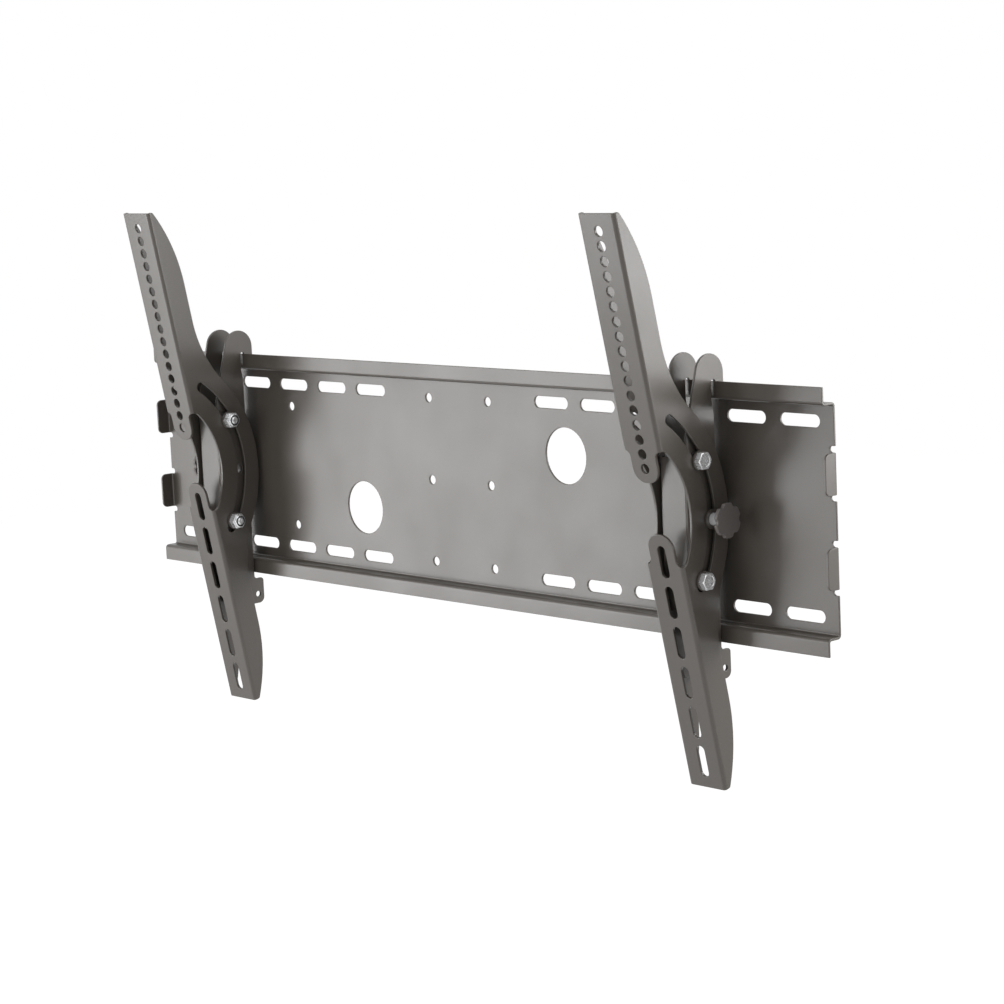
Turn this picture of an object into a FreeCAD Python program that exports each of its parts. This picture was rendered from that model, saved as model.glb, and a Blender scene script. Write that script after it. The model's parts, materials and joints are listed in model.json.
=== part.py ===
import FreeCAD, Part
import math
import os

# Tilting television wall mount: a slotted wall plate, and two arms that hook on its lips
# and slide along it.
# Millimetres. X runs along the wall, Y into the wall, Z up. The wall plane is Y = 0, the front is -Y,
# and the origin is the middle of the wall plate's back face.

# Sheet metal
plate_thickness = 2.0
bracket_thickness = 2.5
fold_radius = 1.5                 # inside radius of the wall plate's folds
bracket_fold_radius = 0.8         # inside radius of the brackets' folds

# Wall plate: a flat panel with a joggled lip along its top and bottom edges
plate_length = 852.0
panel_height = 179.0              # clear height of the panel between its two shelves
lip_rise = 12.5                   # height of each lip above its shelf
lip_forward = 13.0                # from the panel's front face to the lip's front face

wall_slot_length = 40.0
wall_slot_width = 10.0
wall_slot_pitch = 55.0
wall_slot_first = 117.0           # from the middle of the plate to the first slot
wall_slot_end_margin = 13.0       # least metal between the last slot and the end of the plate
wall_slot_inset = 13.5            # from the shelf to the slots' middle line

cable_hole_radius = 24.0
cable_hole_x = 132.3
cable_hole_z = 31.9

screw_hole_radius = 4.0
middle_hole_x = 38.2
middle_hole_inset = 16.6          # from the shelf to the middle holes
outer_hole_x = 231.8
outer_hole_inset = 33.8           # from the shelf to the outer holes

stop_tab_reach = 12.5             # from the panel's front face
stop_tab_height = 32.5
stop_tab_z = 36.5
stop_tab_corner = 5.0
stop_tab_root = 5.0               # depth of the notches that free each tab
stop_tab_notch = 5.0              # height of those notches, which end in a half round
stop_tab_overhang = 1.5           # of a tab's outer face past the end of the plate

# Arms
arm_spacing = 600.0               # between the two arms' middles
running_gap = 2.3                 # between a hook bracket's side and a screen bracket's web
seat_gap = 0.3                    # between a hook bracket and the lips that it hangs on

# Tilt: the arms turn about a line in front of them, led by bolts in an arc slot
tilt_axis_z = -3.0
tilt_limit = 15.0                 # degrees each way from upright
left_rest_tilt = 10.9             # degrees, top tipped forward
right_rest_tilt = 12.3
arc_radius = 100.0
arc_bolt_angle = 28.4             # degrees from the middle of the arc to each bolt

# Bolts, nuts and washers
bolt_diameter = 8.0
bolt_hole_gap = 0.2               # round a bolt in its hole
arc_slot_gap = 0.3                # each side of a bolt in the arc slot
thread_gap = 0.1
hex_across_flats = 13.0
bolt_head_height = 5.3
bolt_tail = 0.4                   # bolt end that stands out of its nut
nut_hex_height = 6.0
nut_collar_radius = 5.7
nut_collar_height = 2.2
washer_radius = 8.0
washer_thickness = 1.6
slip_radius = 7.0                 # of the slip washers between the brackets
washer_gap = 0.2                  # between a washer and the web that slides under it
sleeve_wall = 1.5
edge_chamfer = 0.8

# Locking knob on each arm's outer side
knob_radius = 14.0
knob_head_height = 3.2
knob_lobes = 6
knob_scallop_radius = 3.2
knob_scallop_depth = 1.9
knob_rim_round = 0.9
stud_shoulder_radius = 5.2
stud_shoulder_length = 13.2       # from the washer to the knob
stud_seat_depth = 1.8             # stud length inside the knob
stud_tail = 1.5                   # stud end that stands out of its weld nut
weld_nut_height = 6.5

# Hook bracket: a channel that opens to the wall, with an ear over the top lip
# and a tab under the bottom lip
hook_width = 30.0
hook_sleeve_gap = 0.2             # between the sleeves and the channel's fold
hook_strip_gap = 1.0              # to the screen bracket's strip at either tilt limit
hook_base_drop = 13.6             # from the start of the slanted edges down to the channel's front wall
ear_rise = 22.0                   # height of the ears above the top lip
ear_wall_gap = 3.0
finger_gap = 0.6                  # between the ear's finger and the back of the lip
lip_slot_play = 2.2               # room in front of the top lip, to tip the hook on
lip_slot_slope = 10.0             # height below the lip over which that room closes
lip_slot_round = 6.0
finger_drop = 9.0                 # how far the finger reaches down behind the lip
finger_corner = 2.0
tab_lip_gap = 6.0                 # from the bottom lip down to the tab
tab_height = 24.0
tab_wall_gap = 5.0
tab_corner = 6.0
tab_hole_radius = 2.7
tab_hole_inset = 6.8              # from the tab's back edge
tab_hole_rise = 8.8               # from the tab's bottom edge
bracket_corner = 3.0

# Screen bracket: a long channel with two crescent webs that carry the arc slots
strip_length = 475.0
strip_axis_gap = 56.2             # from the tilt axis back to the strip's front face
strip_corner = 1.2
web_depth = 23.5                  # along the plain parts of the arm
web_tip_depth = 5.5
web_tip_round = 3.0
web_tip_curve = 72.0              # length over which the web tapers to its tip
web_neck_radius = 110.0
crescent_outer_margin = 20.0      # metal from the arc slot's middle line to the crescent's back edge
crescent_inner_margin = 22.5      # metal from the arc slot's middle line to the open middle
crescent_wall_gap = 5.0           # from the crescents to the panel
window_half = 47.5                # half length of the open middle, where the folds end
window_corner = 8.0
tongue_width = 27.0
tongue_corner = 12.0
tongue_flare = 5.0                # round at the root of each tongue
tongue_length = 26.0
screen_hole_radius = 4.2
screen_hole_pitch = 11.9
screen_hole_margin = 13.9         # from the top of the upper strip to its first hole
screen_hole_end_margin = 11.6     # least metal from the last hole's middle to the tongue's end
screen_slot_length = 27.0
screen_slot_pitch = 34.1
screen_slot_margin = 22.75        # from either end of the lower strip to its nearest slot's middle

# Sizes that follow from the ones above
bolt_radius = bolt_diameter / 2
bolt_hole_radius = bolt_radius + bolt_hole_gap
arc_slot_width = bolt_diameter + 2 * arc_slot_gap
arc_half_angle = arc_bolt_angle + tilt_limit
sleeve_radius = bolt_hole_radius + sleeve_wall

panel_half = panel_height / 2
lip_front_y = -(plate_thickness + lip_forward)
lip_edge_z = panel_half + plate_thickness + lip_rise

crescent_outer_radius = arc_radius + crescent_outer_margin
crescent_inner_radius = arc_radius - crescent_inner_margin
tilt_axis_y = -(plate_thickness + crescent_wall_gap + crescent_outer_radius)

arm_x = arm_spacing / 2
hook_half = hook_width / 2
web_inner_half = hook_half + running_gap
web_outer_half = web_inner_half + bracket_thickness
bolt_y = tilt_axis_y + arc_radius * math.cos(math.radians(arc_bolt_angle))
bolt_rise = arc_radius * math.sin(math.radians(arc_bolt_angle))
knob_y = tilt_axis_y + arc_radius
hook_front_y = bolt_y - sleeve_radius - hook_sleeve_gap - bracket_fold_radius - bracket_thickness
hook_back_y = lip_front_y - seat_gap
washer_face = web_outer_half + washer_gap
washer_back = washer_face + washer_thickness
strip_back_gap = strip_axis_gap + bracket_thickness
hook_front_room = (hook_front_y - tilt_axis_y) * math.cos(math.radians(tilt_limit))
hook_front_room -= strip_back_gap + hook_strip_gap
hook_front_rise = hook_front_room / math.sin(math.radians(tilt_limit))

through = 2 * (plate_length + strip_length)    # longer than any piece, for cuts that go right through


def section(points, place):
    """Flat face from (a, b, corner radius) points, each corner rounded by a tangent arc."""
    starts, ends, arcs = [], [], []
    for i, (a, b, radius) in enumerate(points):
        corner = FreeCAD.Vector(a, b, 0)
        before = FreeCAD.Vector(*points[i - 1][:2], 0) - corner
        after = FreeCAD.Vector(*points[(i + 1) % len(points)][:2], 0) - corner
        before.normalize()
        after.normalize()
        half = before.getAngle(after) / 2
        start = corner + before * (radius / math.tan(half))
        end = corner + after * (radius / math.tan(half))
        arc = None
        if radius:
            inward = before + after
            inward.normalize()
            bulge = radius / math.sin(half) - radius
            arc = Part.Arc(place(start), place(corner + inward * bulge), place(end))
        starts.append(place(start))
        ends.append(place(end))
        arcs.append(arc)
    edges = []
    for i, arc in enumerate(arcs):
        if ends[i - 1].distanceToPoint(starts[i]) > 1e-6:
            edges.append(Part.LineSegment(ends[i - 1], starts[i]).toShape())
        if arc:
            edges.append(arc.toShape())
    return Part.Face(Part.Wire(edges))


def in_xy(z):
    """Placer for a section whose two coordinates are X and Y, at height z."""
    return lambda p: FreeCAD.Vector(p.x, p.y, z)


def in_xz(y):
    """Placer for a section whose two coordinates are X and Z, at depth y."""
    return lambda p: FreeCAD.Vector(p.x, y, p.y)


def in_yz(x):
    """Placer for a section whose two coordinates are Y and Z, at width x."""
    return lambda p: FreeCAD.Vector(x, p.x, p.y)


def along_x(length):
    return FreeCAD.Vector(length, 0, 0)


def along_y(length):
    return FreeCAD.Vector(0, length, 0)


def along_z(length):
    return FreeCAD.Vector(0, 0, length)


def rod_x(radius, x0, x1, y=0.0, z=0.0):
    """Round bar along X."""
    return Part.makeCylinder(radius, x1 - x0, FreeCAD.Vector(x0, y, z), FreeCAD.Vector(1, 0, 0))


def rod_y(radius, y0, y1, x, z):
    """Round bar along Y."""
    return Part.makeCylinder(radius, y1 - y0, FreeCAD.Vector(x, y0, z), FreeCAD.Vector(0, 1, 0))


def turned(profile):
    """Solid of revolution about X from (x, radius) points."""
    points = [FreeCAD.Vector(x, radius, 0) for x, radius in profile]
    face = Part.Face(Part.makePolygon(points + points[:1]))
    return face.revolve(FreeCAD.Vector(0, 0, 0), FreeCAD.Vector(1, 0, 0), 360)


def channel(half_width, front_y, back_y, z0, z1):
    """Folded channel along Z: its web faces the front, and its two sides reach back."""
    t = bracket_thickness
    outer = bracket_fold_radius + t
    profile = [
        (-half_width, back_y, 0), (-half_width, front_y, outer),
        (half_width, front_y, outer), (half_width, back_y, 0),
        (half_width - t, back_y, 0), (half_width - t, front_y + t, bracket_fold_radius),
        (-half_width + t, front_y + t, bracket_fold_radius), (-half_width + t, back_y, 0),
    ]
    return section(profile, in_xy(z0)).extrude(along_z(z1 - z0))


def obround(length, width, x, z, y0, y1, upright=False):
    """Straight slot through Y, long in X, or in Z when upright."""
    a = (width if upright else length) / 2
    b = (length if upright else width) / 2
    r = width / 2
    profile = [(x - a, z - b, r), (x + a, z - b, r), (x + a, z + b, r), (x - a, z + b, r)]
    return section(profile, in_xz(y0)).extrude(along_y(y1 - y0))


def panel_cuts():
    """Slots for wall bolts, cable holes and screw holes of the wall plate."""
    y0, y1 = 2 * lip_front_y, -lip_front_y
    reach = plate_length / 2 - wall_slot_end_margin - wall_slot_length / 2
    slot_count = int((reach - wall_slot_first) / wall_slot_pitch) + 1
    slot_z = panel_half - wall_slot_inset
    middle_z = panel_half - middle_hole_inset
    outer_z = panel_half - outer_hole_inset
    cuts = []
    for side in (-1, 1):
        cuts.append(rod_y(cable_hole_radius, y0, y1, side * cable_hole_x, side * cable_hole_z))
        for z in (-middle_z, 0, middle_z):
            cuts.append(rod_y(screw_hole_radius, y0, y1, side * middle_hole_x, z))
        for end in (-1, 1):
            cuts.append(rod_y(screw_hole_radius, y0, y1, side * outer_hole_x, end * outer_z))
            for i in range(slot_count):
                x = side * (wall_slot_first + i * wall_slot_pitch)
                cuts.append(obround(wall_slot_length, wall_slot_width, x, end * slot_z, y0, y1))
    return cuts


def stop_tab(side, end):
    """One end stop, folded forward out of the plate's end."""
    t = plate_thickness
    x_end = side * (plate_length / 2 + stop_tab_overhang)
    x_root = side * (plate_length / 2 - stop_tab_root)
    x_inner = x_end - side * t
    tip_y = -(t + stop_tab_reach)
    z0 = end * stop_tab_z - stop_tab_height / 2
    z1 = z0 + stop_tab_height
    angle = [
        (x_root, 0, 0), (x_end, 0, fold_radius + t), (x_end, tip_y, 0),
        (x_inner, tip_y, 0), (x_inner, -t, fold_radius), (x_root, -t, 0),
    ]
    outline = [(0, z0, 0), (tip_y, z0, stop_tab_corner), (tip_y, z1, stop_tab_corner), (0, z1, 0)]
    folded = section(angle, in_xy(z0)).extrude(along_z(stop_tab_height))
    return folded.common(section(outline, in_yz(-through / 2)).extrude(along_x(through)))


def stop_tab_notch_cut(side, end):
    """Notches in the plate's end that one stop tab is folded out of."""
    y0, y1 = 2 * lip_front_y, -lip_front_y
    x0 = plate_length / 2 - stop_tab_root if side > 0 else -plate_length / 2 - stop_tab_root
    corner = FreeCAD.Vector(x0, y0, end * stop_tab_z - stop_tab_height / 2)
    room = Part.makeBox(2 * stop_tab_root, y1 - y0, stop_tab_height, corner)
    middle = (stop_tab_height + stop_tab_notch) / 2
    reliefs = [obround(2 * stop_tab_root, stop_tab_notch, side * plate_length / 2,
                       end * stop_tab_z + way * middle, y0, y1) for way in (-1, 1)]
    return room.fuse(reliefs)


def wall_plate():
    """Slotted wall plate: one sheet, with joggled lips and folded end stops."""
    t = plate_thickness
    outer = fold_radius + t
    lip_back_y = lip_front_y + t
    shelf_z = panel_half + t
    profile = [
        (lip_front_y, lip_edge_z, 0), (lip_front_y, panel_half, outer), (-t, panel_half, fold_radius),
        (-t, -panel_half, fold_radius), (lip_front_y, -panel_half, outer), (lip_front_y, -lip_edge_z, 0),
        (lip_back_y, -lip_edge_z, 0), (lip_back_y, -shelf_z, fold_radius), (0, -shelf_z, outer),
        (0, shelf_z, outer), (lip_back_y, shelf_z, fold_radius), (lip_back_y, lip_edge_z, 0),
    ]
    corners = [(side, end) for side in (-1, 1) for end in (-1, 1)]
    sheet = section(profile, in_yz(-plate_length / 2)).extrude(along_x(plate_length))
    sheet = sheet.cut(panel_cuts() + [stop_tab_notch_cut(*corner) for corner in corners])
    return sheet.fuse([stop_tab(*corner) for corner in corners]).removeSplitter()


def slant_y(z, gap):
    """Y at height z on the line that keeps a gap behind the strip when it is tilted to a limit."""
    angle = math.radians(tilt_limit)
    lean = abs(z - tilt_axis_z) * math.sin(angle)
    return tilt_axis_y + (strip_back_gap + gap + lean) / math.cos(angle)


def hook_outline():
    """Side view of the hook bracket: ear, finger and lip slot on top, tab below, slanted front edges."""
    angle = math.radians(tilt_limit)
    ear_top = lip_edge_z + ear_rise
    ear_corner = -ear_wall_gap - slant_y(ear_top, hook_strip_gap)
    ear_radius = ear_corner / (math.tan(math.pi / 4) + math.tan((math.pi / 2 - angle) / 2))
    slot_front = lip_front_y - lip_slot_play
    slot_back = lip_front_y + plate_thickness + finger_gap
    slot_round = (slot_back - slot_front) / 2
    seat_drop = math.sqrt((slot_round - seat_gap) ** 2 - (slot_round - finger_gap) ** 2)
    slot_roof = lip_edge_z - seat_drop + slot_round
    finger_z = lip_edge_z - finger_drop
    tab_top = -lip_edge_z - tab_lip_gap
    tab_bottom = tab_top - tab_height
    return [
        (-ear_wall_gap, ear_top, ear_radius),
        (slant_y(ear_top, hook_strip_gap), ear_top, ear_radius),
        (hook_front_y, tilt_axis_z + hook_front_rise, 0),
        (hook_front_y, tilt_axis_z - hook_front_rise, 0),
        (slant_y(tab_bottom, hook_strip_gap), tab_bottom, bracket_corner),
        (-tab_wall_gap, tab_bottom, tab_corner),
        (-tab_wall_gap, tab_top, bracket_corner),
        (hook_back_y, tab_top, bracket_corner),
        (hook_back_y, panel_half - lip_slot_slope, lip_slot_round),
        (slot_front, panel_half, lip_slot_round),
        (slot_front, slot_roof, slot_round),
        (slot_back, slot_roof, slot_round),
        (slot_back, finger_z, finger_corner),
        (-ear_wall_gap, finger_z, finger_corner),
    ]


def hook_bracket():
    """Channel that hangs on the wall plate's lips and carries the tilt bolts."""
    outline = hook_outline()
    heights = [point[1] for point in outline]
    body = channel(hook_half, hook_front_y, 0, min(heights), max(heights))
    body = body.common(section(outline, in_yz(-hook_width)).extrude(along_x(2 * hook_width)))
    inner_half = hook_half - bracket_thickness
    base_top = tilt_axis_z + hook_front_rise - hook_base_drop
    base_corner = FreeCAD.Vector(-inner_half, 2 * hook_front_y, base_top)
    above_base = Part.makeBox(2 * inner_half, -2 * hook_front_y, max(heights), base_corner)
    tab_hole_y = -tab_wall_gap - tab_hole_inset
    tab_hole_z = min(heights) + tab_hole_rise
    holes = [
        rod_x(bolt_hole_radius, -hook_width, hook_width, bolt_y, tilt_axis_z + bolt_rise),
        rod_x(bolt_hole_radius, -hook_width, hook_width, bolt_y, tilt_axis_z - bolt_rise),
        rod_x(bolt_hole_radius, -hook_width, hook_width, knob_y, tilt_axis_z),
        rod_x(tab_hole_radius, -hook_width, hook_width, tab_hole_y, tab_hole_z),
    ]
    return body.cut(holes + [above_base])


def web_outline():
    """Side view of the screen bracket round the tilt axis: n runs back from it, and s up the strip."""
    half = strip_length / 2
    front = strip_axis_gap
    back = strip_axis_gap + web_depth
    tip = strip_axis_gap + web_tip_depth
    rise = back - tip
    tip_radius = (web_tip_curve ** 2 + rise ** 2) / (2 * rise)
    tip_half_angle = math.asin(web_tip_curve / tip_radius) / 2
    tip_start = half - web_tip_curve
    tip_mid = (back - tip_radius + tip_radius * math.cos(tip_half_angle),
               tip_start + tip_radius * math.sin(tip_half_angle))
    reach = crescent_outer_radius + web_neck_radius
    neck_s = math.sqrt(reach ** 2 - (back + web_neck_radius) ** 2)
    neck_n = back + web_neck_radius
    neck_half = math.atan2(neck_s, neck_n) / 2
    neck_mid = (neck_n - web_neck_radius * math.cos(neck_half),
                neck_s - web_neck_radius * math.sin(neck_half))
    join = (neck_n * crescent_outer_radius / reach, neck_s * crescent_outer_radius / reach)

    def at(n, s):
        return FreeCAD.Vector(0, tilt_axis_y + n, tilt_axis_z + s)

    edges = [
        Part.LineSegment(at(front, -half), at(front, half)).toShape(),
        Part.Arc(at(join[0], join[1]), at(crescent_outer_radius, 0), at(join[0], -join[1])).toShape(),
    ]
    for end in (1, -1):
        tip_edge = at(tip, end * half)
        tip_back = at(back, end * tip_start)
        neck_end = at(back, end * neck_s)
        edges += [
            Part.LineSegment(at(front, end * half), tip_edge).toShape(),
            Part.Arc(tip_edge, at(tip_mid[0], end * tip_mid[1]), tip_back).toShape(),
            Part.LineSegment(tip_back, neck_end).toShape(),
            Part.Arc(neck_end, at(neck_mid[0], end * neck_mid[1]), at(join[0], end * join[1])).toShape(),
        ]
    return Part.Face(Part.Wire(Part.__sortEdges__(edges)))


def tongue(end):
    """Rounded tongue of the strip that reaches into the open middle."""
    half = tongue_width / 2
    wide = web_outer_half + bracket_thickness
    below = tilt_axis_z + end * (window_half + bracket_corner)
    root = tilt_axis_z + end * window_half
    tip = tilt_axis_z + end * (window_half - tongue_length)
    outline = [(-wide, below, 0), (-wide, root, 0), (-half, root, tongue_flare),
               (-half, tip, tongue_corner), (half, tip, tongue_corner),
               (half, root, tongue_flare), (wide, root, 0), (wide, below, 0)]
    return section(outline, in_xz(tilt_axis_y)).extrude(along_y(strip_back_gap))


def window_cut():
    """Open middle of the screen bracket, less the two tongues that stay in it."""
    width = 2 * web_outer_half
    disc = rod_x(crescent_inner_radius, -width, width, tilt_axis_y, tilt_axis_z)
    band_corner = FreeCAD.Vector(-width, tilt_axis_y, tilt_axis_z - window_half)
    window = disc.common(Part.makeBox(2 * width, crescent_inner_radius, 2 * window_half, band_corner))
    corner_y = tilt_axis_y + math.sqrt(crescent_inner_radius ** 2 - window_half ** 2)
    back_corners = [edge for edge in window.Edges
                    if abs(edge.CenterOfMass.y - corner_y) < 1e-3 and abs(edge.CenterOfMass.x) < 1e-3]
    window = window.makeFillet(window_corner, back_corners)
    return window.cut([tongue(1), tongue(-1)])


def arc_slot():
    """Slot that the tilt bolts slide in, an arc about the tilt axis."""
    half = arc_slot_width / 2
    width = 2 * web_outer_half
    ring = rod_x(arc_radius + half, -width, width).cut(rod_x(arc_radius - half, -2 * width, 2 * width))
    angle = math.radians(arc_half_angle)
    reach = 2 * arc_radius
    wedge = [(0, 0, 0), (reach, -reach * math.tan(angle), 0), (reach, reach * math.tan(angle), 0)]
    slot = ring.common(section(wedge, in_yz(-width)).extrude(along_x(2 * width)))
    ends = [rod_x(half, -width, width, arc_radius * math.cos(angle), side * arc_radius * math.sin(angle))
            for side in (-1, 1)]
    slot = slot.fuse(ends)
    slot.translate(FreeCAD.Vector(0, tilt_axis_y, tilt_axis_z))
    return slot


def strip_cuts():
    """Round holes in the upper strip and upright slots in the lower strip, for the screen's bolts."""
    y0 = tilt_axis_y
    y1 = tilt_axis_y + strip_back_gap + bracket_thickness
    half = strip_length / 2
    clear_length = half - window_half + tongue_length
    hole_run = clear_length - screen_hole_margin - screen_hole_end_margin
    slot_run = clear_length - 2 * screen_slot_margin
    rounding = 1e-6
    cuts = []
    for i in range(int(hole_run / screen_hole_pitch + rounding) + 1):
        z = tilt_axis_z + half - screen_hole_margin - i * screen_hole_pitch
        cuts.append(rod_y(screen_hole_radius, y0, y1, 0, z))
    for i in range(int(slot_run / screen_slot_pitch + rounding) + 1):
        z = tilt_axis_z - half + screen_slot_margin + i * screen_slot_pitch
        cuts.append(obround(screen_slot_length, 2 * screen_hole_radius, 0, z, y0, y1, upright=True))
    return cuts


def screen_bracket(rest_tilt):
    """Long channel that the screen bolts to, with crescent webs round the tilt axis."""
    half = strip_length / 2
    front_y = tilt_axis_y + strip_axis_gap
    back_y = tilt_axis_y + crescent_outer_radius + bracket_thickness
    body = channel(web_outer_half, front_y, back_y, tilt_axis_z - half, tilt_axis_z + half)
    side_view = web_outline()
    side_view.translate(along_x(-through / 2))
    webs = side_view.extrude(along_x(through))
    tip_y = front_y + web_tip_depth
    tips = [edge for edge in webs.Edges
            if abs(edge.CenterOfMass.y - tip_y) < 1e-3 and abs(edge.CenterOfMass.x) < 1e-3]
    body = body.common(webs.makeFillet(web_tip_round, tips))
    w = web_outer_half
    face = [(-w, tilt_axis_z - half, strip_corner), (w, tilt_axis_z - half, strip_corner),
            (w, tilt_axis_z + half, strip_corner), (-w, tilt_axis_z + half, strip_corner)]
    body = body.common(section(face, in_xz(tilt_axis_y)).extrude(along_y(through)))
    body = body.cut([window_cut(), arc_slot()] + strip_cuts())
    body.rotate(FreeCAD.Vector(0, tilt_axis_y, tilt_axis_z), FreeCAD.Vector(1, 0, 0), rest_tilt)
    return body


def hexagon(height):
    """Hexagonal block along +X, with a chamfered outer face."""
    corner_radius = hex_across_flats / math.sqrt(3)
    angles = [math.radians(60 * i) for i in range(6)]
    points = [(corner_radius * math.cos(angle), corner_radius * math.sin(angle), 0) for angle in angles]
    block = section(points, in_yz(0)).extrude(along_x(height))
    top = hex_across_flats / 2
    slope = (corner_radius - top) / math.sqrt(3) + edge_chamfer / 2
    dome = turned([(0, 0), (0, corner_radius), (height - slope, corner_radius),
                   (height, top - edge_chamfer / 2), (height, 0)])
    return block.common(dome)


def bolt():
    """Hex-head tilt bolt: head outside the outer web, tail out of the nut on the inner side."""
    tip = -(washer_back + nut_hex_height + nut_collar_height + bolt_tail)
    shank = turned([(washer_back, 0), (washer_back, bolt_radius), (tip + edge_chamfer, bolt_radius),
                    (tip, bolt_radius - edge_chamfer), (tip, 0)])
    head = hexagon(bolt_head_height)
    head.translate(along_x(washer_back))
    return head.fuse(shank).removeSplitter()


def lock_nut():
    """Hex nut with a round locking collar, on the inner side."""
    height = nut_hex_height + nut_collar_height
    collar = turned([(0, 0), (0, nut_collar_radius), (height - edge_chamfer, nut_collar_radius),
                     (height, nut_collar_radius - edge_chamfer), (height, 0)])
    nut = hexagon(nut_hex_height).fuse(collar).removeSplitter()
    nut = nut.cut(rod_x(bolt_radius + thread_gap, -height, 2 * height))
    nut.rotate(FreeCAD.Vector(0, 0, 0), FreeCAD.Vector(0, 0, 1), 180)
    nut.translate(along_x(-washer_back))
    return nut


def washer(x0):
    """Plain washer from x0 outward."""
    disc = rod_x(washer_radius, x0, x0 + washer_thickness)
    return disc.cut(rod_x(bolt_hole_radius, x0 - washer_thickness, x0 + 2 * washer_thickness))


def spacer(x0):
    """Slip washer between a hook side and a web, from x0 outward."""
    thickness = running_gap - 2 * washer_gap
    disc = rod_x(slip_radius, x0, x0 + thickness)
    return disc.cut(rod_x(bolt_hole_radius, x0 - thickness, x0 + 2 * thickness))


def sleeve():
    """Spacer that keeps the hook bracket's sides apart when a bolt is tightened."""
    half = hook_half - bracket_thickness
    return rod_x(sleeve_radius, -half, half).cut(rod_x(bolt_hole_radius, -hook_width, hook_width))


def knob():
    """Scalloped head of the locking knob, seated on the end of its stud."""
    inner = washer_back + stud_shoulder_length
    outer = inner + knob_head_height
    rim = knob_radius - knob_rim_round
    body = turned([(inner, 0), (inner, rim), (inner + knob_rim_round, knob_radius),
                   (outer - knob_rim_round, knob_radius), (outer, rim), (outer, 0)])
    centre = knob_radius + knob_scallop_radius - knob_scallop_depth
    cuts = [rod_x(bolt_radius + thread_gap, inner - stud_seat_depth, inner + stud_seat_depth + thread_gap)]
    for i in range(knob_lobes):
        angle = 2 * math.pi * i / knob_lobes
        cuts.append(rod_x(knob_scallop_radius, inner - knob_rim_round, outer + knob_rim_round,
                          centre * math.cos(angle), centre * math.sin(angle)))
    return body.cut(cuts)


def knob_stud():
    """Stud of the knob: a shoulder that bears on the washer, and a thread that runs to the weld nut."""
    tip = hook_half - bracket_thickness - weld_nut_height - stud_tail
    shoulder_end = washer_back + stud_shoulder_length
    end = shoulder_end + stud_seat_depth
    return turned([(tip, 0), (tip, bolt_radius - edge_chamfer), (tip + edge_chamfer, bolt_radius),
                   (washer_back, bolt_radius), (washer_back, stud_shoulder_radius),
                   (shoulder_end, stud_shoulder_radius), (shoulder_end, bolt_radius),
                   (end, bolt_radius), (end, 0)])


def weld_nut():
    """Nut welded inside the outer hook side, for the knob's stud."""
    bore = rod_x(bolt_hole_radius, -weld_nut_height, 2 * weld_nut_height)
    nut = hexagon(weld_nut_height).cut(bore)
    nut.rotate(FreeCAD.Vector(0, 0, 0), FreeCAD.Vector(0, 0, 1), 180)
    nut.translate(along_x(hook_half - bracket_thickness))
    return nut


def arm(rest_tilt):
    """All pieces of one arm, about its own middle plane, with its outer side towards +X."""
    pieces = {"hook_bracket": hook_bracket(), "tv_bracket": screen_bracket(rest_tilt)}
    at_knob = {"knob": knob(), "knob_stud": knob_stud(),
               "knob_washer": washer(washer_face), "weld_nut": weld_nut()}
    for name, shape in at_knob.items():
        shape.translate(FreeCAD.Vector(0, knob_y, tilt_axis_z))
        pieces[name] = shape
    for row, side in (("upper", 1), ("lower", -1)):
        at_bolt = {"bolt": bolt(), "nut": lock_nut(), "head_washer": washer(washer_face),
                   "nut_washer": washer(-washer_back), "outer_spacer": spacer(hook_half + washer_gap),
                   "inner_spacer": spacer(-web_inner_half + washer_gap), "sleeve": sleeve()}
        for name, shape in at_bolt.items():
            shape.translate(FreeCAD.Vector(0, bolt_y, tilt_axis_z + side * bolt_rise))
            pieces[row + "_" + name] = shape
    return pieces


os.makedirs("parts", exist_ok=True)
wall_plate().exportStep("parts/wall_plate.step")
for piece_name, piece in arm(right_rest_tilt).items():
    piece.translate(along_x(arm_x))
    piece.exportStep("parts/right_" + piece_name + ".step")
for piece_name, piece in arm(left_rest_tilt).items():
    piece.translate(along_x(arm_x))
    piece = piece.mirror(FreeCAD.Vector(0, 0, 0), FreeCAD.Vector(1, 0, 0))
    piece.exportStep("parts/left_" + piece_name + ".step")
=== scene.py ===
"""Studio picture of a tilting television wall mount.

The frame holds the folded sheet parts, the fasteners and the knobs at their real places. This script
softens the cut edges of the sheet parts, models the bolts, nuts, washers and knobs in full, gives every
piece its finish, and sets the camera, the lights and the pale studio round them.
"""
import json
import logging
import math
from dataclasses import dataclass
from enum import Enum

import bpy
from mathutils import Matrix, Vector
from mathutils.bvhtree import BVHTree

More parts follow.
